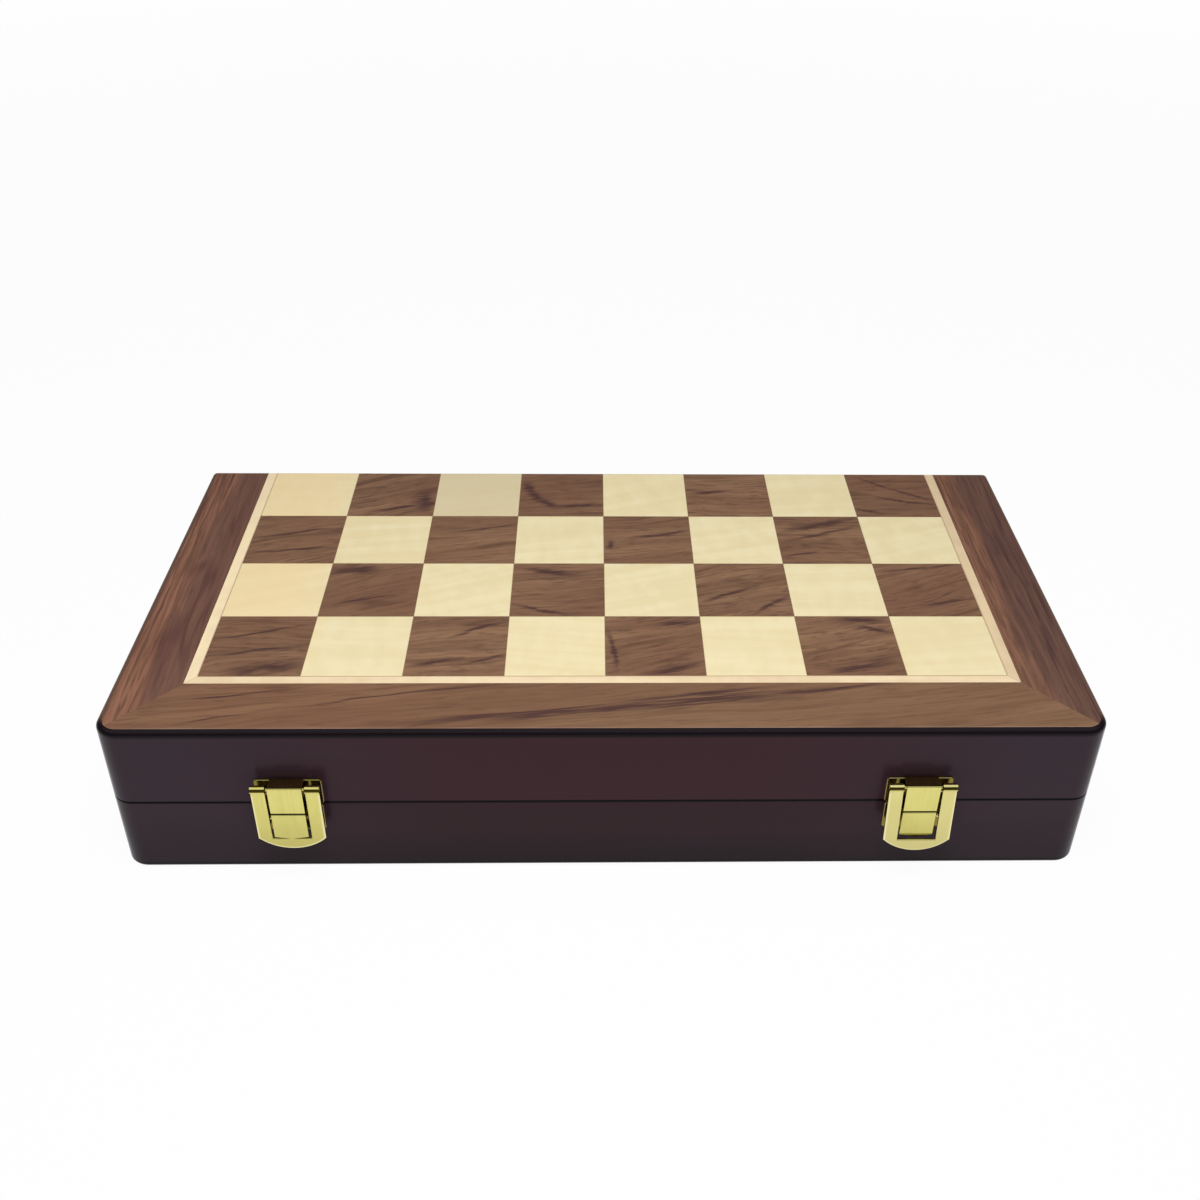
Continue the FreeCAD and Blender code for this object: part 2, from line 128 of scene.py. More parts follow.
# Satin wood: roughness of plain and of dark wood, and shine
satin_roughness = 0.42
dark_roughness = 0.50
satin_shine = 0.2

# Light squares: the columns from the left end over which the warm tone fades
warm_columns = (0.6, 1.3)

# Front border: the span along X where its ruddy left end passes over, and how far in from its front edge a
# painted highlight reaches
ruddy_end = (-0.09, -0.01)
edge_highlight_reach = (0.0001, 0.0008)

# Side borders: the span along Y where the tone of their front ends, and how the edge of their heart wavers
side_front = (-0.055, -0.015)
heart_waver = 0.008
heart_blend = 0.002

# Lacquer: the spans where it turns dusky, black at the rim, rubbed brown, and dark with painted shade along
# the parting
dusky_ends = (0.04, 0.13)
rim_black = (0.0014, 0.0026)
rim_rubbed = (0.0003, 0.0007)
rubbing_start = (0.004, 0.009)
parting_shade = ((0.00001, 0.00005), (0.0004, 0.0007))

# Latches: tongue with its gap, flap behind its barrels, window, bow, degrees ajar, and soft steps between
tongue_half = 0.0055
flap_set_back = 0.0004
window_foot = 0.01735
flap_bow_depth = 0.0042
flap_ajar = 5.5
bow_step = 0.0001
leg_step = 0.0002

# Brass tones: the spans of the flap's painted rim highlight, of painted shade on cut edges, barrels about
# the pin and nailed plates, and of the dull foot
flap_rim_highlight = (0.0003, 0.0008)
sheet_edge_shade = ((0.00012, 0.00026), (0.00060, 0.00068))
barrel_foot = (-0.0016, -0.0013)
barrel_seam_shade = ((-0.0002, 0.0), (0.0006, 0.0008))
barrel_proud = 0.0043
plate_shade_proud = ((0.00056, 0.00066), (0.00075, 0.00090))
dull_foot = (0.008, 0.034)

# Felt sheets: cells of their mesh along X and Y
felt_cells = (70, 33)

# Places and sizes taken from the CAD nodes
squares_low, squares_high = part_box("upper_dark_squares")
wall_low, wall_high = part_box("upper_front_wall")
border_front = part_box("upper_border_front")[0].y
flap_low, flap_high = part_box("latch_left_flap")
pin_low, pin_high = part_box("latch_left_pin")
square_size = (squares_high.x - squares_low.x) / squares_across
parting_height = wall_low.z
half_height = wall_high.z - wall_low.z
latch_reach = -(flap_low.x + flap_high.x) / 2
tongue_proud = wall_low.y - flap_low.y
flap_half = (flap_high.x - flap_low.x) / 2
flap_bow_radius = (flap_half ** 2 + flap_bow_depth ** 2) / (2 * flap_bow_depth)
pin_height = (pin_low.z + pin_high.z) / 2


def paint(red, green, blue):
    """Colour given as it looks on a screen, 0 to 255, as the shader needs it."""
    linear = []
    for level in (red, green, blue):
        share = level / 255
        linear.append(share / 12.92 if share <= 0.04045 else ((share + 0.055) / 1.055) ** 2.4)
    return (*linear, 1.0)


# Colours

walnut_light = paint(150, 115, 88)
walnut_mid = paint(131, 99, 76)
walnut_red = paint(128, 93, 72)
# Painted highlight on the front border's front edge
walnut_edge_highlight = paint(160, 132, 118)
walnut_line = paint(74, 50, 41)
walnut_smoke = paint(78, 53, 49)
border_ruddy = paint(121, 82, 61)
border_even = paint(127, 96, 70)
maple_pale = paint(242, 229, 187)
maple_deep = paint(235, 219, 173)
maple_warm = paint(248, 219, 167)
maple_grey = paint(213, 198, 162)
stringing_bright = paint(254, 233, 191)
stringing_pale = paint(244, 222, 184)
stringing_deep = paint(233, 208, 170)
stringing_dull = paint(222, 198, 160)
glue_brown = paint(150, 122, 84)
lacquer_wine = paint(66, 39, 46)
lacquer_dusk = paint(61, 49, 60)
lacquer_deep = paint(34, 27, 32)
# Black of the front rim, also used as the painted shade along the parting seam
lacquer_black = paint(24, 17, 22)
rim_brown = paint(104, 78, 66)
felt_green = paint(30, 68, 48)
felt_deep = paint(18, 46, 33)
brass_yellow = paint(222, 213, 130)
brass_deep = paint(213, 203, 118)
brass_foot = paint(188, 178, 103)
# Painted light on the latches: the right flap's paler reflection, the rim highlight, shade on the plates
# and in the gaps
brass_pale_reflection = paint(224, 213, 156)
brass_rim_highlight = paint(237, 228, 172)
brass_plate_shade = paint(134, 116, 54)
brass_gap_shade = paint(74, 62, 12)

# Side borders: their place in the log, where along X the heart begins, and the tones of both woods
side_woods = {
    "left": {
        "seed": (0.73, 0.41, 5.0), "heart_edge": -0.1400,
        "outer": paint(150, 101, 84), "outer_stripe": paint(108, 68, 57), "front": paint(158, 109, 86),
        "heart": paint(110, 73, 67), "heart_stripe": paint(91, 61, 56),
    },
    "right": {
        "seed": (0.57, 0.83, 8.0), "heart_edge": 0.1350,
        "outer": paint(148, 101, 82), "outer_stripe": paint(104, 68, 56), "front": paint(106, 72, 63),
        "heart": paint(96, 66, 63), "heart_stripe": paint(70, 48, 48),
    },
}

# Stringing: degrees that the grain is turned, and the two tones of its maple
stringing_woods = {
    "front": (0.0, stringing_pale, stringing_deep),
    "left": (90.0, stringing_bright, stringing_pale),
    "right": (90.0, stringing_deep, stringing_dull),
}


# Small helpers for shader trees

def add(tree, kind, settings=None, inputs=None):
    """Add a node, set its own settings, and feed its sockets with links or plain values."""
    made = tree.nodes.new(kind)
    for name, value in (settings or {}).items():
        setattr(made, name, value)
    for socket, value in (inputs or {}).items():
        feed(tree, made.inputs[socket], value)
    return made


def feed(tree, socket, value):
    """Link a socket, or set it to a plain value."""
    if isinstance(value, bpy.types.NodeSocket):
        tree.links.new(value, socket)
    else:
        socket.default_value = value


def reckon(tree, operation, *values):
    return add(tree, "ShaderNodeMath", {"operation": operation}, dict(enumerate(values))).outputs[0]


def less(tree, value, taken_off):
    return reckon(tree, "SUBTRACT", value, taken_off)


def size_of(tree, value):
    return reckon(tree, "ABSOLUTE", value)


def times(tree, value, *factors):
    for factor in factors:
        value = reckon(tree, "MULTIPLY", value, factor)
    return value


def most(tree, value, *others):
    for other in others:
        value = reckon(tree, "MAXIMUM", value, other)
    return value


def weigh(tree, first, share, second):
    """Mean of two values, the first with this share of the weight."""
    return reckon(tree, "ADD", times(tree, first, share), times(tree, second, 1.0 - share))


def reckon_place(tree, operation, *values):
    return add(tree, "ShaderNodeVectorMath", {"operation": operation}, dict(enumerate(values))).outputs[0]


def length(tree, place):
    return add(tree, "ShaderNodeVectorMath", {"operation": "LENGTH"}, {0: place}).outputs["Value"]


def split(tree, place):
    return add(tree, "ShaderNodeSeparateXYZ", None, {0: place}).outputs


def join(tree, x, y, z):
    return add(tree, "ShaderNodeCombineXYZ", None, {0: x, 1: y, 2: z}).outputs[0]


def turn_flat(tree, place, angle):
    """Turn a place about Z, by an angle in radians."""
    settings = {"rotation_type": "Z_AXIS"}
    return add(tree, "ShaderNodeVectorRotate", settings, {"Vector": place, "Angle": angle}).outputs[0]


def cloud(tree, place, detail):
    inputs = {"Vector": place, "Scale": 1.0, "Detail": detail}
    return add(tree, "ShaderNodeTexNoise", None, inputs).outputs[0]


def figure(tree, place, per_metre, detail):
    """Cloudy figure with so many forms to the metre along X, Y and Z."""
    return cloud(tree, reckon_place(tree, "MULTIPLY", place, per_metre), detail)


def step(tree, value, low, high, before, after):
    settings = {"interpolation_type": "SMOOTHSTEP"}
    inputs = {"Value": value, "From Min": low, "From Max": high, "To Min": before, "To Max": after}
    return add(tree, "ShaderNodeMapRange", settings, inputs).outputs[0]


def rise(tree, value, low, high):
    """Smooth step from 0 to 1 between two values."""
    return step(tree, value, low, high, 0.0, 1.0)


def fall(tree, value, low, high):
    """Smooth step from 1 to 0 between two values."""
    return step(tree, value, low, high, 1.0, 0.0)


def band(tree, value, start, end):
    """1 inside a band that rises over one span and falls over another."""
    return times(tree, rise(tree, value, *start), fall(tree, value, *end))


def span(tree, value, low, high):
    """Carry a value of 0 to 1 over to another span."""
    return add(tree, "ShaderNodeMapRange", None, {"Value": value, "To Min": low, "To Max": high}).outputs[0]


def mix(tree, share, first, second):
    return add(tree, "ShaderNodeMix", {"data_type": "RGBA"}, {0: share, 6: first, 7: second}).outputs[2]


def stain(tree, colour, mask, strength, tint):
    """Tint a colour where a mask is set, up to some strength."""
    return mix(tree, times(tree, mask, strength), colour, tint)


def new_effect(name, inputs, outputs):
    """Shader node group with named inputs and outputs."""
    group = bpy.data.node_groups.new(name, "ShaderNodeTree")
    for label, kind in inputs:
        group.interface.new_socket(label, in_out="INPUT", socket_type=kind)
    for label, kind in outputs:
        group.interface.new_socket(label, in_out="OUTPUT", socket_type=kind)
    return group, group.nodes.new("NodeGroupInput").outputs, group.nodes.new("NodeGroupOutput").inputs


def use_effect(tree, group, inputs):
    return add(tree, "ShaderNodeGroup", {"node_tree": group}, inputs).outputs


def new_material(name):
    """Material with its tree, its shader and the place in the CAD frame."""
    material = bpy.data.materials.new(name)
    material.use_nodes = True
    tree = material.node_tree
    place = add(tree, "ShaderNodeTexCoord").outputs["Object"]
    return material, tree, tree.nodes["Principled BSDF"], place


def bump(tree, shader, height, strength, distance):
    made = add(tree, "ShaderNodeBump", None, {"Height": height, "Strength": strength, "Distance": distance})
    feed(tree, shader.inputs["Normal"], made.outputs[0])


def turned_place(tree, place, turn, seed):
    """The wood seen along its grain: turned by some degrees and taken from its own part of the log."""
    inputs = {"Vector": place, "Location": seed, "Rotation": (0.0, 0.0, math.radians(turn)),
              "Scale": (1.0, 1.0, 0.0)}
    return add(tree, "ShaderNodeMapping", {"vector_type": "POINT"}, inputs).outputs[0]


def drawn_out(tree, place, stretch):
    """The same wood with its figure drawn out along the grain."""
    return reckon_place(tree, "DIVIDE", place, (stretch, 1.0, 1.0))


# Effects shared by the finishes

def make_square_cut():
    """Each square is its own piece of veneer, with its own place in the wood, turn and chances."""
    group, taken, given = new_effect(
        "square_cut",
        (("Place", "NodeSocketVector"),),
        (("Wood Place", "NodeSocketVector"), ("Tone", "NodeSocketFloat"), ("Figure", "NodeSocketFloat"),
         ("Glue Line", "NodeSocketFloat"), ("Cell", "NodeSocketVector")))
    # The upper squares count as layer 1 of the cells, the lower ones as layer -1
    slack = square_size * square_slack
    corner = (squares_low.x - slack, squares_low.y - slack, parting_height / 4)
    pitch = (square_size + slack, square_size + slack, parting_height)
    counted = reckon_place(group, "DIVIDE", reckon_place(group, "SUBTRACT", taken["Place"], corner), pitch)
    cell = reckon_place(group, "FLOOR", counted)
    within = reckon_place(group, "SUBTRACT", reckon_place(group, "FRACTION", counted), (0.5, 0.5, 0.5))
    centred = reckon_place(group, "MULTIPLY", within, pitch)
    chance = add(group, "ShaderNodeTexWhiteNoise", None, {"Vector": cell}).outputs["Color"]
    turn_chance, tone, streaks = add(group, "ShaderNodeSeparateColor", None, {0: chance}).outputs
    turned = turn_flat(group, centred, span(group, turn_chance, *square_turn))
    flat = reckon_place(group, "MULTIPLY", turned, (1.0, 1.0, 0.0))
    seed = reckon_place(group, "MULTIPLY", chance, square_spread)
    beside, before = split(group, reckon_place(group, "ABSOLUTE", centred))[:2]
    glue = rise(group, most(group, beside, before), square_size / 2 - glue_line, square_size / 2)
    feed(group, given["Wood Place"], reckon_place(group, "ADD", flat, seed))
    feed(group, given["Tone"], tone)
    feed(group, given["Figure"], streaks)
    feed(group, given["Glue Line"], glue)
    feed(group, given["Cell"], cell)
    return group


def make_walnut_figure():
    """Walnut with X along the grain: bands, fibres, combing, pores, thin lines and smoky streaks."""
    group, taken, given = new_effect(
        "walnut_figure",
        (("Wood Place", "NodeSocketVector"), ("Lines", "NodeSocketFloat"), ("Streaks", "NodeSocketFloat")),
        (("Color", "NodeSocketColor"), ("Dark", "NodeSocketFloat"), ("Pores", "NodeSocketFloat")))
    x, y, z = split(group, taken["Wood Place"])

    def grain(across, long, wide, layer, detail):
        """Figure with forms so long and wide, in metres, in a layer of its own."""
        spread = join(group, reckon(group, "DIVIDE", x, long), reckon(group, "DIVIDE", across, wide),
                      reckon(group, "ADD", z, layer))
        return cloud(group, spread, detail)

    wander = grain(y, 0.070, 0.030, 0.0, 2.0)
    bent = reckon(group, "MULTIPLY_ADD", wander, 0.016, y)
    bands = rise(group, grain(bent, 0.110, 0.0060, 2.3, 3.0), 0.34, 0.66)
    fibres = rise(group, grain(bent, 0.030, 0.0012, 4.9, 3.0), 0.42, 0.66)
    lines = size_of(group, less(group, grain(bent, 0.080, 0.0075, 6.1, 1.0), 0.5))
    broken = rise(group, grain(bent, 0.022, 0.0080, 8.7, 2.0), 0.42, 0.60)
    lines = times(group, fall(group, lines, 0.004, 0.042), broken, taken["Lines"])
    smoke = rise(group, grain(bent, 0.050, 0.0060, 10.3, 4.0), 0.50, 0.66)
    patches = rise(group, grain(bent, 0.022, 0.0110, 12.9, 2.0), 0.46, 0.60)
    smoke = times(group, smoke, patches, taken["Streaks"])
    pores = rise(group, grain(bent, 0.0060, 0.0009, 15.1, 2.0), 0.56, 0.66)
    ruddy = rise(group, grain(bent, 0.070, 0.030, 17.7, 1.0), 0.45, 0.70)
    combing = rise(group, grain(bent, 0.011, 0.0012, 20.3, 2.0), 0.47, 0.62)
    brown = mix(group, bands, walnut_light, walnut_mid)
    brown = mix(group, ruddy, brown, walnut_red)
    brown = stain(group, brown, fibres, 0.26, walnut_line)
    brown = stain(group, brown, combing, 0.19, walnut_line)
    brown = stain(group, brown, smoke, 0.90, walnut_smoke)
    brown = stain(group, brown, lines, 0.85, walnut_line)
    brown = stain(group, brown, pores, 0.42, walnut_line)
    feed(group, given["Color"], brown)
    feed(group, given["Dark"], most(group, smoke, lines))
    feed(group, given["Pores"], pores)
    return group


def make_dark_mark():
    """One dark line in the veneer: a soft, frayed stroke that fades from its middle to its ends."""
    group, taken, given = new_effect(
        "dark_mark",
        (("Place", "NodeSocketVector"), ("Sway", "NodeSocketFloat"), ("Wisps", "NodeSocketFloat"),
         ("Middle", "NodeSocketVector"), ("Climb", "NodeSocketFloat"), ("Reach", "NodeSocketFloat"),
         ("Width", "NodeSocketFloat")),
        (("Mark", "NodeSocketFloat"),))
    away = reckon_place(group, "SUBTRACT", taken["Place"], taken["Middle"])
    along, across = split(group, turn_flat(group, away, times(group, taken["Climb"], -1.0)))[:2]
    off = size_of(group, reckon(group, "ADD", across, taken["Sway"]))
    off = reckon(group, "ADD", reckon(group, "DIVIDE", off, taken["Width"]), taken["Wisps"])
    out = reckon(group, "DIVIDE", size_of(group, along), taken["Reach"])
    feed(group, given["Mark"], times(group, fall(group, off, 0.20, 1.05), fall(group, out, 0.2, 1.4)))
    return group


def make_maple_figure():
    """Maple with X along the grain: faint bands, fine lines and a little silk across them."""
    group, taken, given = new_effect(
        "maple_figure",
        (("Wood Place", "NodeSocketVector"), ("Pale", "NodeSocketColor"), ("Deep", "NodeSocketColor")),
        (("Color", "NodeSocketColor"), ("Grain", "NodeSocketFloat")))
    place = taken["Wood Place"]
    bands = figure(group, place, (14.0, 240.0, 1.0), 3.0)
    silk = figure(group, place, (190.0, 90.0, 1.0), 2.0)
    lines = rise(group, figure(group, place, (50.0, 1700.0, 1.0), 2.0), 0.54, 0.74)
    share = rise(group, weigh(group, bands, 0.6, silk), 0.36, 0.64)
    wood = mix(group, share, taken["Pale"], taken["Deep"])
    feed(group, given["Color"], stain(group, wood, lines, 0.40, taken["Deep"]))
    feed(group, given["Grain"], lines)
    return group


square_cut = make_square_cut()
walnut_figure = make_walnut_figure()
dark_mark = make_dark_mark()
maple_figure = make_maple_figure()


# Finishes

def finish_walnut(tree, shader, wood, colour):
    """Satin walnut, duller in its dark figure, with open pores."""
    feed(tree, shader.inputs["Base Color"], colour)
    feed(tree, shader.inputs["Roughness"], span(tree, wood["Dark"], satin_roughness, dark_roughness))
    shader.inputs["Specular IOR Level"].default_value = satin_shine
    bump(tree, shader, wood["Pores"], strength=0.15, distance=0.00005)


def finish_maple(tree, shader, colour):
    """Satin maple."""
    feed(tree, shader.inputs["Base Color"], colour)
    shader.inputs["Roughness"].default_value = satin_roughness
    shader.inputs["Specular IOR Level"].default_value = satin_shine


def dark_marks(tree, place, grain, marks):
    """How dark the marks make a place of the upper half, their edges frayed along the grain."""
    sway = span(tree, figure(tree, grain, (60.0, 60.0, 1.0), 1.0), -mark_sway, mark_sway)
    wisps = span(tree, figure(tree, grain, (110.0, 1500.0, 1.0), 4.0), *mark_fray)
    marked = 0.0
    for x, y, climb, reach, width in marks:
        mark = use_effect(tree, dark_mark, {
            "Place": place, "Sway": sway, "Wisps": wisps, "Climb": math.radians(climb),
            "Middle": (x * millimetre, y * millimetre, wall_high.z),
            "Reach": reach * millimetre, "Width": width * millimetre,
        })
        marked = most(tree, marked, mark["Mark"])
    upper = reckon(tree, "GREATER_THAN", split(tree, place)[2], parting_height)
    return times(tree, marked, upper, mark_strength)


def make_dark_square_finish():
    """Walnut squares, some redder and some smokier, with their own dark lines in the upper half."""
    material, tree, shader, place = new_material("walnut_squares")
    cut = use_effect(tree, square_cut, {"Place": place})
    wood = use_effect(tree, walnut_figure, {
        "Wood Place": cut["Wood Place"], "Lines": 0.6, "Streaks": span(tree, cut["Figure"], 0.0, 0.35)})
    toned = mix(tree, span(tree, cut["Tone"], 0.0, 0.30), wood["Color"], walnut_red)
    grain = turned_place(tree, place, square_grain, square_mark_seed)
    marked = dark_marks(tree, place, grain, square_marks)
    finish_walnut(tree, shader, wood, mix(tree, marked, toned, walnut_smoke))
    return material


def make_light_square_finish():
    """Maple squares, warmer in the column at the left end, with one greyer square by the fold."""
    material, tree, shader, place = new_material("maple_squares")
    cut = use_effect(tree, square_cut, {"Place": place})
    wood = use_effect(tree, maple_figure, {
        "Wood Place": cut["Wood Place"], "Pale": maple_pale, "Deep": maple_deep})
    columns_in = reckon(tree, "DIVIDE", less(tree, split(tree, place)[0], squares_low.x), square_size)
    left_end = times(tree, fall(tree, columns_in, *warm_columns), 0.55)
    warm = most(tree, left_end, span(tree, cut["Tone"], 0.0, 0.14))
    toned = mix(tree, warm, wood["Color"], maple_warm)
    off = length(tree, reckon_place(tree, "SUBTRACT", cut["Cell"], grey_square))
    toned = stain(tree, toned, reckon(tree, "LESS_THAN", off, 0.5), 0.65, maple_grey)
    finish_maple(tree, shader, stain(tree, toned, cut["Glue Line"], 0.8, glue_brown))
    bump(tree, shader, wood["Grain"], strength=0.08, distance=0.00004)
    return material


def make_front_border_finish():
    """Front border: even walnut, redder to the left, with dark lines that climb, and a painted highlight
    along its front edge.
    """
    material, tree, shader, place = new_material("walnut_border_front")
    turned = turned_place(tree, place, front_grain, front_seed)
    wood = use_effect(tree, walnut_figure, {
        "Wood Place": drawn_out(tree, turned, border_stretch), "Lines": 0.5, "Streaks": 0.2})
    x, y = split(tree, place)[:2]
    even = mix(tree, rise(tree, x, *ruddy_end), border_ruddy, border_even)
    toned = mix(tree, 0.45, wood["Color"], even)
    marked = dark_marks(tree, place, drawn_out(tree, turned, border_mark_stretch), border_marks)
    toned = mix(tree, marked, toned, walnut_smoke)
    # Painted highlight along the front edge, broken up along X
    rubs = rise(tree, figure(tree, place, (30.0, 0.0, 0.0), 3.0), 0.30, 0.60)
    edge_highlight = times(tree, fall(tree, less(tree, y, border_front), *edge_highlight_reach), rubs)
    finish_walnut(tree, shader, wood, stain(tree, toned, edge_highlight, 0.6, walnut_edge_highlight))
    return material


def make_side_border_finish(side):
    """Side border: grain along the depth, fine lines, a front tone of its own and a darker heart."""
    material, tree, shader, place = new_material("walnut_border_" + side)
    tones = side_woods[side]
    seed = tones["seed"]
    turned = turned_place(tree, place, side_grain, seed)
    wood = use_effect(tree, walnut_figure, {
        "Wood Place": drawn_out(tree, turned, border_stretch), "Lines": 1.0, "Streaks": 0.5})
    x, y = split(tree, place)[:2]
    waver = cloud(tree, join(tree, times(tree, x, 300.0), times(tree, y, 22.0), seed[2]), 3.0)
    waver = span(tree, waver, -heart_waver, heart_waver)
    past = reckon(tree, "ADD", less(tree, x, tones["heart_edge"]), waver)
    heart = rise(tree, past, -heart_blend, heart_blend)
    fibres = rise(tree, figure(tree, turned, (32.0, 760.0, 1.0), 3.0), 0.34, 0.66)
    lines = rise(tree, figure(tree, turned, (40.0, 800.0, 1.0), 2.0), 0.53, 0.60)
    outer = mix(tree, fibres, tones["outer"], tones["outer_stripe"])
    outer = stain(tree, outer, fall(tree, y, *side_front), 0.5, tones["front"])
    outer = stain(tree, outer, lines, 0.70, walnut_line)
    inner = mix(tree, fibres, tones["heart"], tones["heart_stripe"])
    toned = mix(tree, 0.30, mix(tree, heart, outer, inner), wood["Color"])
    finish_walnut(tree, shader, wood, toned)
    return material


def make_stringing_finish(side, turn, pale, deep):
    """Thin maple strip, with dark glue lines where it meets the squares and in its mitres."""
    material, tree, shader, place = new_material("stringing_" + side)
    turned = turned_place(tree, place, turn, stringing_seed)
    wood = use_effect(tree, maple_figure, {"Wood Place": turned, "Pale": pale, "Deep": deep})
    x, y = split(tree, place)[:2]
    beside = less(tree, size_of(tree, x), squares_high.x)
    before = less(tree, squares_low.y, y)
    along = fall(tree, most(tree, beside, before), 0.0, 2 * glue_line)
    mitre = fall(tree, size_of(tree, less(tree, beside, before)), 0.0, glue_line)
    mitre = times(tree, mitre, reckon(tree, "GREATER_THAN", beside, 0.0))
    finish_maple(tree, shader, stain(tree, wood["Color"], most(tree, along, mitre), 0.55, glue_brown))
    return material


def make_lacquer_finish():
    """Wine-brown lacquer: dusky to the ends, deeper below, black at the front rim, brown at side rims."""
    material, tree, shader, place = new_material("wine_lacquer")
    x, y, z = split(tree, place)
    height = size_of(tree, less(tree, z, parting_height))
    to_rim = less(tree, half_height, height)
    cloudy = figure(tree, place, (9.0, 9.0, 40.0), 3.0)
    grain = figure(tree, place, (20.0, 20.0, 1500.0), 3.0)
    ends = rise(tree, size_of(tree, x), *dusky_ends)
    dusk = most(tree, ends, rise(tree, cloudy, 0.52, 0.80))
    colour = stain(tree, lacquer_wine, dusk, 0.75, lacquer_dusk)
    to_foot = times(tree, fall(tree, z, 0.0, parting_height), span(tree, ends, 0.85, 0.50))
    lower = times(tree, reckon(tree, "LESS_THAN", z, parting_height), span(tree, ends, 0.36, 0.0))
    colour = mix(tree, most(tree, to_foot, lower), colour, lacquer_deep)
    # Painted shade in the parting seam between the two halves
    colour = mix(tree, band(tree, height, *parting_shade), colour, lacquer_black)
    rubbed = fall(tree, to_rim, *rim_rubbed)
    rubbed = times(tree, rubbed, rise(tree, less(tree, y, wall_low.y), *rubbing_start))
    rim = mix(tree, rubbed, lacquer_black, rim_brown)
    feed(tree, shader.inputs["Base Color"], mix(tree, fall(tree, to_rim, *rim_black), colour, rim))
    feed(tree, shader.inputs["Roughness"], span(tree, cloudy, 0.17, 0.25))
    shader.inputs["Specular IOR Level"].default_value = 0.10
    bump(tree, shader, grain, strength=0.05, distance=0.0001)
    return material


def make_brass_finish():
    """Rubbed brass: duller to the foot, painted shade on seams, cut edges and plates, a painted highlight
    on the flap rim, and a paler painted reflection on the right flap.
    """
    material, tree, shader, place = new_material("rubbed_brass")
    rubs = figure(tree, place, (2200.0, 700.0, 60.0), 2.0)
    tarnish = figure(tree, place, (160.0, 160.0, 90.0), 3.0)
    dull = rise(tree, weigh(tree, rubs, 0.4, tarnish), 0.38, 0.68)

    # Places on a latch: out from the wall, beside its middle, above its pin, on the flap's bow or a leg
    x, y, z = split(tree, place)
    proud = less(tree, wall_low.y, y)
    beside = size_of(tree, less(tree, size_of(tree, x), latch_reach))
    above_pin = less(tree, z, pin_height)
    below_barrel = fall(tree, above_pin, *barrel_foot)
    bow = fall(tree, z, window_foot, window_foot + bow_step)
    leg = most(tree, bow, rise(tree, beside, tongue_half, tongue_half + leg_step))
    right_leg = times(tree, leg, reckon(tree, "GREATER_THAN", x, 0.0))

    # Painted shade on the cut edges of the sheet in the gaps, behind the face of tongue and flap, where the
    # right flap leans out
    lean = times(tree, right_leg, less(tree, pin_height, z), math.tan(math.radians(flap_ajar)))
    face = reckon(tree, "ADD", span(tree, leg, tongue_proud, tongue_proud - flap_set_back), lean)
    edge = band(tree, less(tree, face, proud), *sheet_edge_shade)
    bow_edge = times(tree, edge, bow)
    edge = times(tree, less(tree, edge, bow_edge), below_barrel)

    # Painted shade as a dark line in the barrels' seam and on the nailed plates, and a painted highlight on
    # the flap's rim with its straight sides and round bow
    seam_shade = times(tree, band(tree, above_pin, *barrel_seam_shade), leg,
                 reckon(tree, "GREATER_THAN", proud, barrel_proud))
    plate_shade = band(tree, proud, *plate_shade_proud)
    to_centre = less(tree, flap_low.z + flap_bow_radius, z)
    to_bow = less(tree, flap_bow_radius, length(tree, join(tree, beside, to_centre, 0.0)))
    to_rim = reckon(tree, "MINIMUM", less(tree, flap_half, beside), to_bow)
    rim = times(tree, fall(tree, to_rim, *flap_rim_highlight), leg, below_barrel,
                reckon(tree, "GREATER_THAN", proud, 0.0))

    colour = mix(tree, dull, brass_yellow, brass_deep)
    colour = mix(tree, fall(tree, z, *dull_foot), colour, brass_foot)
    # Painted reflection: the right flap, which stands ajar, is painted paler than the left
    colour = stain(tree, colour, right_leg, 0.45, brass_pale_reflection)
    # Painted highlight along the flap's outer rim
    colour = mix(tree, rim, colour, brass_rim_highlight)
    # Painted shade on the nailed plates behind the flap
    colour = mix(tree, plate_shade, colour, brass_plate_shade)
    # Painted shade on the cut edges in the gaps and in the dark line under each barrel
    colour = mix(tree, most(tree, edge, seam_shade), colour, brass_gap_shade)
    feed(tree, shader.inputs["Base Color"], colour)
    rough = reckon(tree, "MULTIPLY_ADD", bow_edge, 0.45, span(tree, dull, 0.13, 0.19))
    feed(tree, shader.inputs["Roughness"], rough)
    shader.inputs["Metallic"].default_value = 1.0
    bump(tree, shader, rubs, strength=0.010, distance=0.00003)
    return material


def make_felt_finish():
    """Green felt: fine fibres, and a little wear in soft patches."""
    material, tree, shader, place = new_material("green_felt")
    fibres = figure(tree, place, (1900.0, 1900.0, 1900.0), 4.0)
    wear = figure(tree, place, (35.0, 35.0, 35.0), 3.0)
    share = rise(tree, weigh(tree, fibres, 0.8, wear), 0.35, 0.65)
    feed(tree, shader.inputs["Base Color"], mix(tree, share, felt_deep, felt_green))
    shader.inputs["Roughness"].default_value = 0.95
    shader.inputs["Sheen Weight"].default_value = 0.35
    shader.inputs["Sheen Roughness"].default_value = 0.5
    bump(tree, shader, fibres, strength=0.6, distance=0.0003)
    return material


walnut_squares = make_dark_square_finish()
maple_squares = make_light_square_finish()
border_finish = {"front": make_front_border_finish()}
for border_side in side_woods:
    border_finish[border_side] = make_side_border_finish(border_side)
stringing_finish = {side: make_stringing_finish(side, *wood) for side, wood in stringing_woods.items()}
wine_lacquer = make_lacquer_finish()
rubbed_brass = make_brass_finish()
green_felt = make_felt_finish()


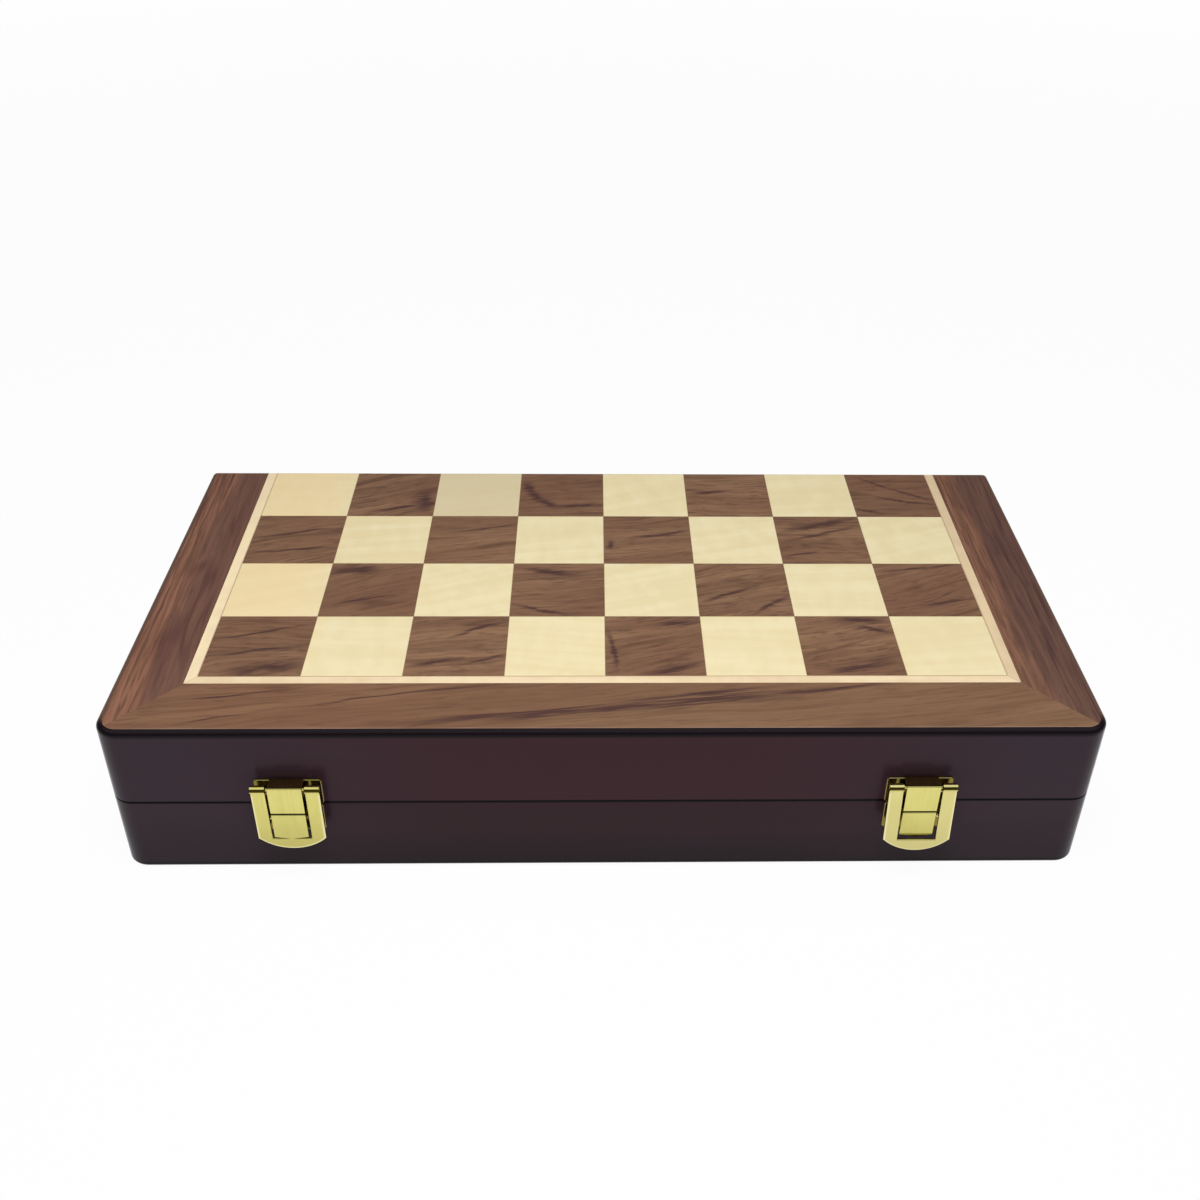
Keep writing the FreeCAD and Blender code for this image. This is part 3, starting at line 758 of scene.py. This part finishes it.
def finish_of(node):
    """The finish of a CAD node, by the piece that its name tells."""
    side = node.rsplit("_", 1)[-1]
    if node.endswith("dark_squares"):
        return walnut_squares
    if node.endswith("light_squares"):
        return maple_squares
    if "_border_" in node:
        return border_finish[side]
    if "_stringing_" in node:
        return stringing_finish[side]
    if node.startswith(("hinge_", "latch_")):
        return rubbed_brass
    if node.endswith("felt_lining"):
        return green_felt
    return wine_lacquer


for node_name, node_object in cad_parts.items():
    node_object.data.materials.clear()
    node_object.data.materials.append(finish_of(node_name))


# Felt linings

def make_felt_lining(half):
    """Felt sheet laid on the panel, in the place of the CAD lining."""
    node = half + "_felt_lining"
    low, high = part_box(node)
    up = half == "lower"
    seat = low.z if up else high.z
    nap = high.z if up else low.z
    bm = bmesh.new()
    bmesh.ops.create_grid(bm, x_segments=felt_cells[0], y_segments=felt_cells[1], size=0.5)
    size = high - low
    bmesh.ops.scale(bm, vec=(size.x, size.y, 1.0), verts=bm.verts)
    middle = (low + high) / 2
    bmesh.ops.translate(bm, vec=(middle.x, middle.y, nap), verts=bm.verts)
    grown = bmesh.ops.extrude_face_region(bm, geom=bm.faces[:])
    moved = [item for item in grown["geom"] if isinstance(item, bmesh.types.BMVert)]
    bmesh.ops.translate(bm, vec=(0.0, 0.0, seat - nap), verts=moved)
    bmesh.ops.recalc_face_normals(bm, faces=bm.faces)
    mesh = bpy.data.meshes.new(half + "_felt")
    bm.to_mesh(mesh)
    bm.free()
    mesh.materials.append(green_felt)
    piece = bpy.data.objects.new(half + "_felt", mesh)
    bpy.context.collection.objects.link(piece)
    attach(piece, half + "_half")
    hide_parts(node)


for half in ("upper", "lower"):
    make_felt_lining(half)


# Studio

def make_floor():
    """White table: white to the camera and, as far as it reaches, to the brass. It takes a soft shadow."""
    bm = bmesh.new()
    bmesh.ops.create_grid(bm, x_segments=1, y_segments=1, size=table_size / 2)
    bmesh.ops.translate(bm, vec=(0.0, 0.0, -table_drop), verts=bm.verts)
    mesh = bpy.data.meshes.new("white_table")
    bm.to_mesh(mesh)
    bm.free()
    table = bpy.data.objects.new("white_table", mesh)
    bpy.context.collection.objects.link(table)
    material, tree, shader, place = new_material("white_table_top")
    shader.inputs["Base Color"].default_value = table_grey
    shader.inputs["Roughness"].default_value = table_roughness
    rays = add(tree, "ShaderNodeLightPath").outputs
    away = length(tree, place)
    mirrored = times(tree, rays["Is Glossy Ray"], fall(tree, away, *mirror_fade))
    seen = most(tree, rays["Is Camera Ray"], mirrored, rays["Is Transmission Ray"])
    white = span(tree, rise(tree, away, *shadow_fade), table_white, 1.0)
    glow = add(tree, "ShaderNodeEmission", None, {"Color": plain_white, "Strength": 1.0})
    both = add(tree, "ShaderNodeMixShader", None,
               {0: times(tree, seen, white), 1: shader.outputs[0], 2: glow.outputs[0]})
    feed(tree, tree.nodes["Material Output"].inputs["Surface"], both.outputs[0])
    mesh.materials.append(material)
    return table


def make_room():
    """Dim room with a bright ceiling and a low white backdrop round the table. The camera sees white."""
    world = bpy.data.worlds.new("dim_room")
    bpy.context.scene.world = world
    world.use_nodes = True
    tree = world.node_tree
    height = split(tree, add(tree, "ShaderNodeTexCoord").outputs["Generated"])[2]
    backdrop, ceiling, mirror = [[math.sin(math.radians(edge)) for edge in edges]
                                 for edges in (backdrop_top, ceiling_lit, ceiling_mirrored)]
    shine = most(tree, fall(tree, height, *backdrop), rise(tree, height, *mirror))
    rays = add(tree, "ShaderNodeLightPath").outputs
    mirrored = times(tree, shine, rays["Is Glossy Ray"])
    seen = most(tree, mirrored, rays["Is Transmission Ray"], rays["Is Camera Ray"])
    lit = span(tree, rise(tree, height, *ceiling), room_light, 1.0)
    background = tree.nodes["Background"]
    background.inputs["Color"].default_value = plain_white
    feed(tree, background.inputs["Strength"], most(tree, lit, seen))


def make_lamp():
    light = bpy.data.lights.new("overhead_lamp", "AREA")
    light.shape = "SQUARE"
    light.size = lamp_size
    light.energy = lamp_power
    lamp = bpy.data.objects.new("overhead_lamp", light)
    lamp.location = lamp_place
    lamp.visible_glossy = False
    bpy.context.collection.objects.link(lamp)
    return lamp


def make_camera():
    camera = bpy.data.cameras.new("camera")
    camera.lens = camera_lens
    camera.sensor_width = camera_sensor
    camera.clip_start = camera_nearest
    camera.shift_x, camera.shift_y = camera_shift
    eye = bpy.data.objects.new("camera", camera)
    eye.location = camera_place
    tilt = Matrix.Rotation(math.radians(90.0 - camera_elevation), 3, "X")
    turn = Matrix.Rotation(math.radians(-camera_turn), 3, "Z")
    roll = Matrix.Rotation(math.radians(camera_roll), 3, "Z")
    eye.rotation_euler = (turn @ tilt @ roll).to_euler()
    bpy.context.collection.objects.link(eye)
    bpy.context.scene.camera = eye


make_floor()
make_lamp()
make_room()
make_camera()
bpy.context.scene.view_settings.view_transform = "Standard"
